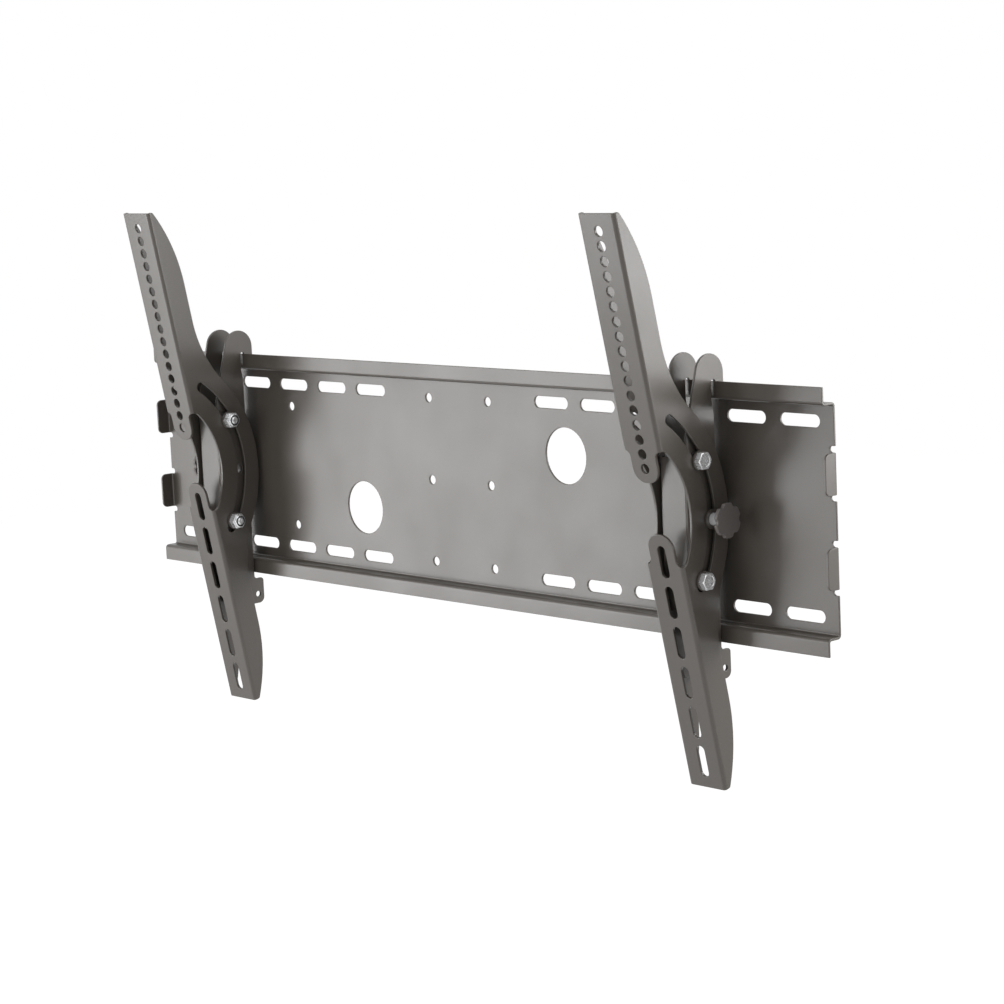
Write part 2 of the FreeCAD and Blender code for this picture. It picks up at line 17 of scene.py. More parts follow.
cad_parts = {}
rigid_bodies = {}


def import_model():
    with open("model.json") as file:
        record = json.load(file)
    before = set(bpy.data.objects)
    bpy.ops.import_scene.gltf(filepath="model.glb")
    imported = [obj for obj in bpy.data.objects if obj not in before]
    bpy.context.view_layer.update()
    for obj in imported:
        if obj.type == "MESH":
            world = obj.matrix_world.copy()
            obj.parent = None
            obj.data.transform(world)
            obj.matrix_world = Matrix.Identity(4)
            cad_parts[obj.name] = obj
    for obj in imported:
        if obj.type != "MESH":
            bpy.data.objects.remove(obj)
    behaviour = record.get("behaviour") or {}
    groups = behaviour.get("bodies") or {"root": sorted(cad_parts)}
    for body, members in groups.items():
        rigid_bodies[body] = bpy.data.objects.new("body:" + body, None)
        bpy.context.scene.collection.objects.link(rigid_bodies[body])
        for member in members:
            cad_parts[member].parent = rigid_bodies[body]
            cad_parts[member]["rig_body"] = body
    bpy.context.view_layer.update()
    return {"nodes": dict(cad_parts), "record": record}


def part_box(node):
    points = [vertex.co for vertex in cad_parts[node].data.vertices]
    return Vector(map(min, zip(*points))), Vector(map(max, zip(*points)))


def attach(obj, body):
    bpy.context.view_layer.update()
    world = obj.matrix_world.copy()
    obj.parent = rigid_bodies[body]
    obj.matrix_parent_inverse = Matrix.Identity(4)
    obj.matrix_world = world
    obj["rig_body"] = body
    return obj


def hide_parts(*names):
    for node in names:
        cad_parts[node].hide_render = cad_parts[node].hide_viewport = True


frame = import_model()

MM = 0.001
WELD = 0.002 * MM
TURN_WELD = 0.001 * MM
FLAT_ANGLE = 0.5
NORMAL_WEIGHT = 80
LOG = logging.getLogger("wall_mount")

Point = tuple[float, float]
Colour = tuple[float, float, float, float]


class Side(Enum):
    """The two arms; the value is the sign of the arm's outer side along X."""

    LEFT = -1
    RIGHT = 1

    @property
    def word(self) -> str:
        """Name of the side as the frame's nodes and bodies spell it."""
        return self.name.lower()


class Row(Enum):
    """The two tilt bolts of an arm."""

    UPPER = "upper"
    LOWER = "lower"


class Bench:
    """Modelling steps that the pieces share, each done with Blender's own operators."""

    @staticmethod
    def take(piece: bpy.types.Object) -> None:
        """Make a piece the only selected object, and the active one."""
        bpy.ops.object.select_all(action="DESELECT")
        piece.select_set(True)
        bpy.context.view_layer.objects.active = piece

    @staticmethod
    def name(piece: bpy.types.Object, name: str) -> bpy.types.Object:
        """Name a piece and its mesh."""
        piece.name = name
        piece.data.name = name
        return piece

    @staticmethod
    def settle(piece: bpy.types.Object) -> bpy.types.Object:
        """Put a piece's place into its mesh, so that its object sits at the origin."""
        Bench.take(piece)
        bpy.ops.object.transform_apply(location=True, rotation=True, scale=True)
        return piece

    @staticmethod
    def modify(piece: bpy.types.Object, kind: str, **settings: object) -> bpy.types.Object:
        """Add a modifier and apply it.

        Args:
            piece: The object to change.
            kind: Blender's name for the modifier.
            settings: Values of the modifier, by property name.

        Returns:
            The same object.
        """
        Bench.take(piece)
        modifier = piece.modifiers.new(kind.lower(), kind)
        for key, value in settings.items():
            setattr(modifier, key, value)
        bpy.ops.object.modifier_apply(modifier=modifier.name)
        return piece

    @staticmethod
    def combine(piece: bpy.types.Object, tool: bpy.types.Object, how: str) -> bpy.types.Object:
        """Combine a piece with a tool shape, which is used up.

        Args:
            piece: The object to change.
            tool: The other shape.
            how: INTERSECT, UNION or DIFFERENCE.

        Returns:
            The changed piece.
        """
        Bench.modify(piece, "BOOLEAN", operation=how, object=tool, solver="EXACT")
        bpy.data.objects.remove(tool)
        return piece

    @staticmethod
    def soften(piece: bpy.types.Object, width: float, segments: int, angle: float) -> bpy.types.Object:
        """Join a piece's flat faces, round its sharp edges and smooth its curved faces.

        Args:
            piece: The object to change.
            width: Width of the rounding, in metres.
            segments: Steps across the rounding.
            angle: Least angle between two faces that are rounded, in degrees.

        Returns:
            The same object.
        """
        Bench.take(piece)
        bpy.ops.object.mode_set(mode="EDIT")
        bpy.ops.mesh.select_all(action="SELECT")
        bpy.ops.mesh.remove_doubles(threshold=WELD)
        bpy.ops.mesh.dissolve_limited(angle_limit=math.radians(FLAT_ANGLE))
        bpy.ops.object.mode_set(mode="OBJECT")
        Bench.modify(piece, "BEVEL", width=width, segments=segments, limit_method="ANGLE",
                     angle_limit=math.radians(angle), use_clamp_overlap=False, loop_slide=False,
                     offset_type="OFFSET", miter_outer="MITER_ARC")
        Bench.take(piece)
        bpy.ops.object.shade_smooth_by_angle(angle=math.radians(angle))
        return Bench.modify(piece, "WEIGHTED_NORMAL", mode="FACE_AREA", weight=NORMAL_WEIGHT,
                            keep_sharp=True)

    @staticmethod
    def turned(profile: list[Point], steps: int, name: str) -> bpy.types.Object:
        """Turn a profile about the X axis, as on a lathe.

        Args:
            profile: Points as (x, radius) in metres; a ring's profile ends where it starts.
            steps: Faces round the turn.
            name: Name of the new object.

        Returns:
            A closed solid at the origin.
        """
        bpy.ops.object.select_all(action="DESELECT")
        bpy.ops.mesh.primitive_plane_add(size=MM, location=(0, 0, 0))
        piece = Bench.name(bpy.context.active_object, name)
        bpy.ops.object.mode_set(mode="EDIT")
        bpy.ops.mesh.select_all(action="SELECT")
        bpy.ops.mesh.merge(type="CENTER")
        x, radius = profile[0]
        bpy.ops.transform.translate(value=(x, 0, radius))
        for next_x, next_radius in profile[1:]:
            step = (next_x - x, 0, next_radius - radius)
            bpy.ops.mesh.extrude_vertices_move(TRANSFORM_OT_translate={"value": step})
            x, radius = next_x, next_radius
        bpy.ops.mesh.select_all(action="SELECT")
        bpy.ops.mesh.spin(steps=steps, angle=2 * math.pi, center=(0, 0, 0), axis=(1, 0, 0))
        bpy.ops.mesh.select_all(action="SELECT")
        bpy.ops.mesh.remove_doubles(threshold=TURN_WELD)
        bpy.ops.mesh.normals_make_consistent(inside=False)
        bpy.ops.object.mode_set(mode="OBJECT")
        return piece

    @staticmethod
    def hexagon(across_flats: float, length: float, name: str) -> bpy.types.Object:
        """Hexagonal bar along +X from the origin.

        Args:
            across_flats: Distance between opposite flats, in metres.
            length: Length of the bar, in metres.
            name: Name of the new object.

        Returns:
            The bar.
        """
        bpy.ops.object.select_all(action="DESELECT")
        bpy.ops.mesh.primitive_cylinder_add(vertices=6, radius=across_flats / math.sqrt(3), depth=length,
                                            location=(length / 2, 0, 0), rotation=(0, math.pi / 2, 0))
        return Bench.settle(Bench.name(bpy.context.active_object, name))

    @staticmethod
    def copy_at(master: bpy.types.Object, name: str, place: Vector, side: Side) -> bpy.types.Object:
        """Copy a finished master, with a mesh of its own, to its place on one arm.

        Args:
            master: The piece, about the X axis, with its outer end towards +X.
            name: Name of the copy.
            place: Where the master's origin goes.
            side: The arm; on the left one the piece is turned round.

        Returns:
            The copy, with its place in its mesh.
        """
        mesh = master.data.copy()
        turn = 0.0 if side is Side.RIGHT else math.pi
        mesh.transform(Matrix.Translation(place) @ Matrix.Rotation(turn, 4, "Z"))
        piece = bpy.data.objects.new(name, mesh)
        bpy.context.scene.collection.objects.link(piece)
        mesh.name = name
        return piece


@dataclass(frozen=True)
class Grain:
    """Noise over an object's own coordinates: features a metre, octaves, and scale along each axis."""

    scale: float
    detail: float
    stretch: tuple[float, float, float] = (1, 1, 1)


@dataclass(frozen=True)
class Relief:
    """Surface relief: the share of it that shows, and its height in metres."""

    share: float
    depth: float


class Shader:
    """Small helper that adds and links the nodes of one material."""

    SPREAD: Point = (0.3, 0.7)
    TONES: Point = (0.35, 0.65)

    def __init__(self, name: str) -> None:
        """Start a material with a principled shader."""
        self.material = bpy.data.materials.new(name)
        self.material.use_nodes = True
        self.tree = self.material.node_tree
        self.surface = self.tree.nodes["Principled BSDF"]
        self.coords = self.add("ShaderNodeTexCoord").outputs["Object"]

    def add(self, kind: str, **settings: object) -> bpy.types.Node:
        """Add a node and set its properties."""
        node = self.tree.nodes.new(kind)
        for key, value in settings.items():
            setattr(node, key, value)
        return node

    def link(self, start: bpy.types.NodeSocket, end: bpy.types.NodeSocket) -> None:
        """Join two sockets."""
        self.tree.links.new(start, end)

    def constants(self, **values: object) -> None:
        """Set values that are the same all over the surface, by socket name with _ for a space."""
        for key, value in values.items():
            self.surface.inputs[key.replace("_", " ")].default_value = value

    def noise(self, grain: Grain) -> bpy.types.NodeSocket:
        """Noise over the object's own coordinates, as the socket of its value."""
        mapping = self.add("ShaderNodeMapping")
        mapping.inputs["Scale"].default_value = grain.stretch
        self.link(self.coords, mapping.inputs["Vector"])
        node = self.add("ShaderNodeTexNoise")
        node.inputs["Scale"].default_value = grain.scale
        node.inputs["Detail"].default_value = grain.detail
        self.link(mapping.outputs["Vector"], node.inputs["Vector"])
        return node.outputs["Fac"]

    def ranged(self, value: bpy.types.NodeSocket, low: float, high: float) -> bpy.types.NodeSocket:
        """Spread a noise value, which stays near the middle of its range, over low to high."""
        node = self.add("ShaderNodeMapRange")
        node.inputs["From Min"].default_value, node.inputs["From Max"].default_value = self.SPREAD
        node.inputs["To Min"].default_value = low
        node.inputs["To Max"].default_value = high
        self.link(value, node.inputs["Value"])
        return node.outputs["Result"]

    def blend(self, value: bpy.types.NodeSocket, dark: Colour, light: Colour) -> bpy.types.NodeSocket:
        """Colour between two tones by a noise value."""
        node = self.add("ShaderNodeValToRGB")
        node.color_ramp.elements[0].position, node.color_ramp.elements[1].position = self.TONES
        node.color_ramp.elements[0].color = dark
        node.color_ramp.elements[1].color = light
        self.link(value, node.inputs["Fac"])
        return node.outputs["Color"]

    def bump(self, height: bpy.types.NodeSocket, relief: Relief,
             under: bpy.types.NodeSocket | None = None) -> bpy.types.NodeSocket:
        """Surface relief from a height.

        Args:
            height: The height's socket.
            relief: How strong and how deep it is.
            under: Normal that the relief lies on, if any.

        Returns:
            The normal's socket.
        """
        node = self.add("ShaderNodeBump")
        node.inputs["Strength"].default_value = relief.share
        node.inputs["Distance"].default_value = relief.depth
        self.link(height, node.inputs["Height"])
        if under is not None:
            self.link(under, node.inputs["Normal"])
        return node.outputs["Normal"]

    def to_surface(self, start: bpy.types.NodeSocket, socket: str) -> None:
        """Join a socket to one of the principled shader's inputs."""
        self.link(start, self.surface.inputs[socket])


@dataclass(frozen=True)
class PowderCoat:
    """Charcoal satin powder coat on the sheet steel: a fine grain with soft orange peel under it."""

    slot: str = "coated_steel"
    dark: Colour = (0.068, 0.059, 0.050, 1.0)
    light: Colour = (0.084, 0.074, 0.064, 1.0)
    rough: Point = (0.28, 0.35)
    gloss: float = 0.65
    grain: Grain = Grain(2400.0, 2.0)
    peel: Grain = Grain(420.0, 1.0)
    cloud: Grain = Grain(14.0, 3.0)
    grain_relief: Relief = Relief(0.22, 0.04 * MM)
    peel_relief: Relief = Relief(0.10, 0.05 * MM)

    def material(self) -> bpy.types.Material:
        """Build the finish's material."""
        shader = Shader(self.slot)
        shader.constants(Specular_IOR_Level=self.gloss)
        cloud = shader.noise(self.cloud)
        grain = shader.noise(self.grain)
        peel = shader.noise(self.peel)
        shader.to_surface(shader.blend(grain, self.dark, self.light), "Base Color")
        shader.to_surface(shader.ranged(cloud, *self.rough), "Roughness")
        under = shader.bump(peel, self.peel_relief)
        shader.to_surface(shader.bump(grain, self.grain_relief, under), "Normal")
        return shader.material


@dataclass(frozen=True)
class ZincPlate:
    """Bright zinc plate on the bolts, nuts and studs, with faint drawing lines and cloudy tone."""

    slot: str = "zinc_steel"
    name: str = "zinc_steel"
    dark: Colour = (0.80, 0.81, 0.82, 1.0)
    light: Colour = (0.92, 0.93, 0.94, 1.0)
    rough: Point = (0.24, 0.36)
    metallic: float = 0.7
    cloud: Grain = Grain(420.0, 3.0)
    lines: Grain = Grain(900.0, 2.0, (0.15, 1.0, 1.0))
    relief: Relief = Relief(0.08, 0.02 * MM)

    def material(self) -> bpy.types.Material:
        """Build the finish's material."""
        shader = Shader(self.name)
        shader.constants(Metallic=self.metallic)
        cloud = shader.noise(self.cloud)
        lines = shader.noise(self.lines)
        shader.to_surface(shader.blend(cloud, self.dark, self.light), "Base Color")
        shader.to_surface(shader.ranged(lines, *self.rough), "Roughness")
        shader.to_surface(shader.bump(lines, self.relief), "Normal")
        return shader.material


@dataclass(frozen=True)
class MouldedPlastic:
    """Dark moulded plastic of the lock knobs, with a fine spark-eroded grain."""

    slot: str = "knob_plastic"
    dark: Colour = (0.112, 0.102, 0.096, 1.0)
    light: Colour = (0.134, 0.122, 0.116, 1.0)
    rough: Point = (0.42, 0.52)
    grain: Grain = Grain(1900.0, 2.0)
    cloud: Grain = Grain(60.0, 2.0)
    relief: Relief = Relief(0.12, 0.03 * MM)

    def material(self) -> bpy.types.Material:
        """Build the finish's material."""
        shader = Shader(self.slot)
        cloud = shader.noise(self.cloud)
        grain = shader.noise(self.grain)
        shader.to_surface(shader.blend(grain, self.dark, self.light), "Base Color")
        shader.to_surface(shader.ranged(cloud, *self.rough), "Roughness")
        shader.to_surface(shader.bump(grain, self.relief), "Normal")
        return shader.material


@dataclass(frozen=True)
class Nylon:
    """Black nylon of the slip washers and of the rings in the lock nuts."""

    slot: str = "nylon"
    dark: Colour = (0.034, 0.034, 0.033, 1.0)
    light: Colour = (0.050, 0.050, 0.048, 1.0)
    rough: Point = (0.38, 0.50)
    cloud: Grain = Grain(300.0, 3.0)
    relief: Relief = Relief(0.1, 0.05 * MM)

    def material(self) -> bpy.types.Material:
        """Build the finish's material."""
        shader = Shader(self.slot)
        cloud = shader.noise(self.cloud)
        shader.to_surface(shader.blend(cloud, self.dark, self.light), "Base Color")
        shader.to_surface(shader.ranged(cloud, *self.rough), "Roughness")
        shader.to_surface(shader.bump(cloud, self.relief), "Normal")
        return shader.material


Finish = PowderCoat | ZincPlate | MouldedPlastic | Nylon
POLISHED = ZincPlate(name="polished_zinc", rough=(0.12, 0.20), metallic=0.55)


class Finishes:
    """The materials of the part: one for each slot of its record, and a polished one for the studs."""

    def __init__(self) -> None:
        """Build one material for each finish."""
        finishes: tuple[Finish, ...] = (PowderCoat(), ZincPlate(), MouldedPlastic(), Nylon())
        self.by_slot = {finish.slot: finish.material() for finish in finishes}
        self.polished = POLISHED.material()
        self.of_node = {part["node"]: part["material_slot"] for part in frame["record"]["subparts"]}

    def dress(self, piece: bpy.types.Object, slot: str) -> None:
        """Give a piece the finish of a slot in place of any it has."""
        piece.data.materials.clear()
        piece.data.materials.append(self.by_slot[slot])

    def dress_frame(self) -> None:
        """Give every node of the frame the finish of its own slot."""
        for node, slot in self.of_node.items():
            self.dress(frame["nodes"][node], slot)


@dataclass
class Stand:
    """How a new piece joins the part: the node that it stands for, its body and its finish."""

    finishes: Finishes

    def seat(self, piece: bpy.types.Object, node: str) -> bpy.types.Object:
        """Put a piece in the place of a node, with the node's body and finish, and log it.

        Args:
            piece: The finished piece, in place.
            node: The node of the frame that it stands for.

        Returns:
            The same piece.
        """
        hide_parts(node)
        return self.add(piece, frame["nodes"][node]["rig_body"], self.finishes.of_node[node])

    def add(self, piece: bpy.types.Object, body: str, slot: str) -> bpy.types.Object:
        """Dress a piece, let it ride on a body, and log it.

        Args:
            piece: The finished piece, in place.
            body: The body that it moves with.
            slot: The material slot of its finish.

        Returns:
            The same piece.
        """
        self.finishes.dress(piece, slot)
        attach(piece, body)
        LOG.info("%s rides on %s in %s", piece.name, body, slot)
        return piece


@dataclass
class SheetParts:
    """The folded sheets: the wall plate, the two hook brackets and the two tv brackets."""

    edge_round: float = 0.5 * MM
    edge_segments: int = 3
    sharp_angle: float = 40.0
    stray: float = 0.25 * MM

    def nodes(self) -> list[str]:
        """Names of the sheet nodes."""
        arms = [f"{side.word}_{part}" for side in Side for part in ("hook_bracket", "tv_bracket")]
        return ["wall_plate"] + arms

    def soften(self, node: str) -> bpy.types.Object:
        """Copy a sheet with the cut edges rounded, as a thick coat rounds them.

        Args:
            node: Name of the sheet's node.

        Returns:
            The softened copy.
        """
        piece = frame["nodes"][node].copy()
        piece.data = piece.data.copy()
        piece.parent = None
        for key in list(piece.keys()):
            del piece[key]
        bpy.context.scene.collection.objects.link(piece)
        Bench.name(piece, f"{node}_sheet")
        Bench.soften(piece, self.edge_round, self.edge_segments, self.sharp_angle)
        return self.pull_back(piece, frame["nodes"][node])

    def pull_back(self, piece: bpy.types.Object, sheet: bpy.types.Object) -> bpy.types.Object:
        """Put the few vertices that the rounding throws off a sheet back onto it.

        Args:
            piece: The softened copy.
            sheet: The sheet's node, which isn't changed.

        Returns:
            The same copy.
        """
        tree = BVHTree.FromPolygons([vertex.co for vertex in sheet.data.vertices],
                                    [face.vertices for face in sheet.data.polygons])
        for vertex in piece.data.vertices:
            spot, _, _, distance = tree.find_nearest(vertex.co)
            if distance > self.stray:
                vertex.co = spot
        return piece

    def build(self, stand: Stand) -> None:
        """Soften every sheet and put it in its place."""
        for node in self.nodes():
            stand.seat(self.soften(node), node)


@dataclass
class Thread:
    """Coarse metric thread: a helical ridge on a core; its foot and half width are shares of the pitch."""

    crest: float = 4.0 * MM
    root: float = 3.35 * MM
    pitch: float = 1.25 * MM
    chamfer: float = 0.8 * MM
    foot_sink: float = 0.15
    half_width: float = 0.44
    steps: int = 28
    faces: int = 64

    def ridge(self, start: float, turns: int) -> bpy.types.Object:
        """Make the helical ridge of a thread about the X axis.

        Args:
            start: X of the first turn's middle, in metres.
            turns: Number of turns, running towards +X.

        Returns:
            A closed helical ridge whose foot lies inside the core.
        """
        foot = self.root - self.foot_sink * self.pitch
        half = self.half_width * self.pitch
        bpy.ops.object.select_all(action="DESELECT")
        bpy.ops.mesh.primitive_circle_add(vertices=3, radius=self.pitch, fill_type="NOTHING")
        piece = Bench.name(bpy.context.active_object, "ridge")
        section = ((start - half, foot), (start, self.crest), (start + half, foot))
        for vertex, (x, radius) in zip(piece.data.vertices, section):
            vertex.co = (x, 0, radius)
        Bench.modify(piece, "SCREW", axis="X", angle=2 * math.pi, screw_offset=self.pitch, iterations=turns,
                     steps=self.steps, render_steps=self.steps)
        Bench.take(piece)
        bpy.ops.object.mode_set(mode="EDIT")
        bpy.ops.mesh.select_all(action="DESELECT")
        bpy.ops.mesh.select_mode(type="EDGE")
        bpy.ops.mesh.select_non_manifold()
        bpy.ops.mesh.edge_face_add()
        bpy.ops.mesh.select_all(action="SELECT")
        bpy.ops.mesh.normals_make_consistent(inside=False)
        bpy.ops.mesh.select_mode(type="VERT")
        bpy.ops.object.mode_set(mode="OBJECT")
        return piece

    def rod(self, top: float, length: float, threaded: float, name: str) -> bpy.types.Object:
        """Make a rod along X whose far end, at -length, is threaded.

        Args:
            top: X of the plain end, in metres.
            length: Distance of the threaded end from the origin, in metres.
            threaded: Length of the threaded part, in metres.
            name: Name of the new object.

        Returns:
            The rod.
        """
        plain_end = threaded - length
        core = Bench.turned([(top, 0), (top, self.crest), (plain_end, self.crest),
                             (plain_end - self.chamfer, self.root), (self.chamfer - length, self.root),
                             (-length, self.root - self.chamfer), (-length, 0)], self.faces, name)
        turns = int((threaded - self.chamfer) / self.pitch) - 1
        return Bench.combine(core, self.ridge(self.chamfer + self.pitch / 2 - length, turns), "UNION")


@dataclass
class Fasteners:
    """Tilt bolts, lock nuts and washers: each modelled once along X and copied to its places."""

    thread: Thread
    across_flats: float = 13.0 * MM
    head_height: float = 5.3 * MM
    crown: float = 30.0
    crown_reach: float = 1.1
    washer_face: float = 0.4 * MM
    dish_radius: float = 4.9 * MM
    dish_depth: float = 0.3 * MM
    cross_length: float = 5.4 * MM
    cross_width: float = 1.2 * MM
    cross_depth: float = 1.4 * MM
    threaded: float = 15.0 * MM
    chamfer: float = 0.8 * MM
    nut_hex: float = 6.0 * MM
    collar_radius: float = 5.7 * MM
    ring_radius: float = 5.0 * MM
    ring_seat: float = 1.6 * MM
    ring_sink: float = 0.5 * MM
    bore_gap: float = 0.1 * MM
    edge_round: float = 0.12 * MM
    edge_segments: int = 2
    sharp_angle: float = 38.0
    faces: int = 72

    def crowned(self, bar: bpy.types.Object, length: float) -> bpy.types.Object:
        """Turn the corners off the outer end of a hexagonal bar.

        Args:
            bar: The bar, from the origin to length along X.
            length: Its length, in metres.

        Returns:
            The bar with a crowned end.
        """
        corner = self.across_flats / math.sqrt(3)
        flat = self.across_flats / 2 - self.washer_face
        wide = self.crown_reach * corner
        drop = (wide - flat) * math.tan(math.radians(self.crown))
        tool = Bench.turned([(-length, 0), (-length, wide), (length - drop, wide), (length, flat),
                             (length, 0)], self.faces, "crown")
        return Bench.combine(bar, tool, "INTERSECT")

    def pressed(self, head: bpy.types.Object) -> bpy.types.Object:
        """Press the shallow dish and the cross recess into a bolt head's face.

        Args:
            head: The head, from the origin along +X.

        Returns:
            The head with its recesses.
        """
        face = self.head_height
        floor = face - self.dish_depth
        inner = self.dish_radius - self.dish_depth
        dish = Bench.turned([(2 * face, 0), (2 * face, self.dish_radius), (face, self.dish_radius),
                             (floor, inner), (floor, 0)], self.faces, "dish")
        head = Bench.combine(head, dish, "DIFFERENCE")
        for turn in (0.0, math.pi / 2):
            bpy.ops.object.select_all(action="DESELECT")
            bpy.ops.mesh.primitive_cube_add(size=1.0, location=(floor, 0, 0), rotation=(turn, 0, 0))
            blade = bpy.context.active_object
            blade.scale = (2 * self.cross_depth, self.cross_width, self.cross_length)
            head = Bench.combine(head, Bench.settle(blade), "DIFFERENCE")
        return head

    def finished(self, piece: bpy.types.Object) -> bpy.types.Object:
        """Round a fastener's edges."""
        return Bench.soften(piece, self.edge_round, self.edge_segments, self.sharp_angle)

    def bolt(self, length: float) -> bpy.types.Object:
        """Hex bolt with its head's seat at the origin and its shank towards -X.

        Args:
            length: Length under the head, in metres.

        Returns:
            The bolt.
        """
        bar = Bench.hexagon(self.across_flats, self.head_height, "tilt_bolt")
        head = self.pressed(self.crowned(bar, self.head_height))
        sunk = self.head_height / 4
        shank = self.thread.rod(sunk, length, self.threaded, "shank")
        return self.finished(Bench.combine(head, shank, "UNION"))

    def nut(self, height: float) -> bpy.types.Object:
        """Lock nut with its seat at the origin and its collar towards -X.

        Args:
            height: Overall height, in metres.

        Returns:
            The nut, with a seat for the nylon ring in its collar.
        """
        nut = self.crowned(Bench.hexagon(self.across_flats, self.nut_hex, "lock_nut"), self.nut_hex)
        start = self.nut_hex / 2
        bore = self.thread.crest + self.bore_gap
        lip = height - self.chamfer
        seat = height - self.ring_seat
        profile = [(start, 0), (start, self.collar_radius), (lip, self.collar_radius),
                   (height, self.collar_radius - self.chamfer), (height, 0)]
        collar = Bench.turned(profile, self.faces, "collar")
        nut = Bench.combine(nut, collar, "UNION")
        hole = Bench.turned([(-height, 0), (-height, bore), (seat, bore), (seat, self.ring_radius),
                             (2 * height, self.ring_radius), (2 * height, 0)], self.faces, "hole")
        nut = self.finished(Bench.combine(nut, hole, "DIFFERENCE"))
        nut.data.transform(Matrix.Rotation(math.pi, 4, "Z"))
        return nut

    def washer(self, outer: float, bore: float, span: Point, name: str) -> bpy.types.Object:
        """Punched washer about the X axis.

        Args:
            outer: Outer radius, in metres.
            bore: Radius of the hole, in metres.
            span: X of its two faces, in metres.
            name: Name of the new object.

        Returns:
            The washer.
        """
        ring = [(span[0], bore), (span[0], outer), (span[1], outer), (span[1], bore), (span[0], bore)]
        return self.finished(Bench.turned(ring, self.faces, name))

    def build(self, stand: Stand) -> None:
        """Model the fasteners and copy them to both arms."""
        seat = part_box("right_upper_head_washer")
        outer = (seat[1].z - seat[0].z) / 2
        nut_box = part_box("right_upper_nut")
        height = nut_box[1].x - nut_box[0].x
        bolt = self.bolt(seat[1].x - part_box("right_upper_bolt")[0].x)
        nut = self.nut(height)
        ring = self.washer(self.ring_radius, self.thread.crest - self.bore_gap,
                           (self.ring_sink - height, self.ring_seat - height), "lock_ring")
        washer = self.washer(outer, self.thread.crest + 2 * self.bore_gap, (0, seat[1].x - seat[0].x),
                             "flat_washer")
        masters = {"bolt": bolt, "nut": nut, "head_washer": washer, "nut_washer": washer}
        for side in Side:
            for row in Row:
                bolted = f"{side.word}_{row.value}"
                for part, master in masters.items():
                    node = f"{bolted}_{part}"
                    place = self.place(master, node, side)
                    stand.seat(Bench.copy_at(master, f"{node}_turned", place, side), node)
                place = self.place(nut, f"{bolted}_nut", side)
                ring_copy = Bench.copy_at(ring, f"{bolted}_nut_ring", place, side)
                stand.add(ring_copy, f"{side.word}_hook", Nylon.slot)
            node = f"{side.word}_knob_washer"
            stand.seat(Bench.copy_at(washer, f"{node}_turned", self.place(washer, node, side), side), node)
        for master in (bolt, nut, ring, washer):
            bpy.data.objects.remove(master)

    def place(self, master: bpy.types.Object, node: str, side: Side) -> Vector:
        """Find where a master's origin goes for a node.

        Args:
            master: The modelled fastener.
            node: The node that its copy stands for.
            side: The arm that the node is on.

        Returns:
            A point on the node's axis.
        """
        low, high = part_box(node)
        middle = (low + high) / 2
        reach = max(vertex.co.x for vertex in master.data.vertices)
        outer = high.x if side is Side.RIGHT else low.x
        return Vector((outer - side.value * reach, middle.y, middle.z))


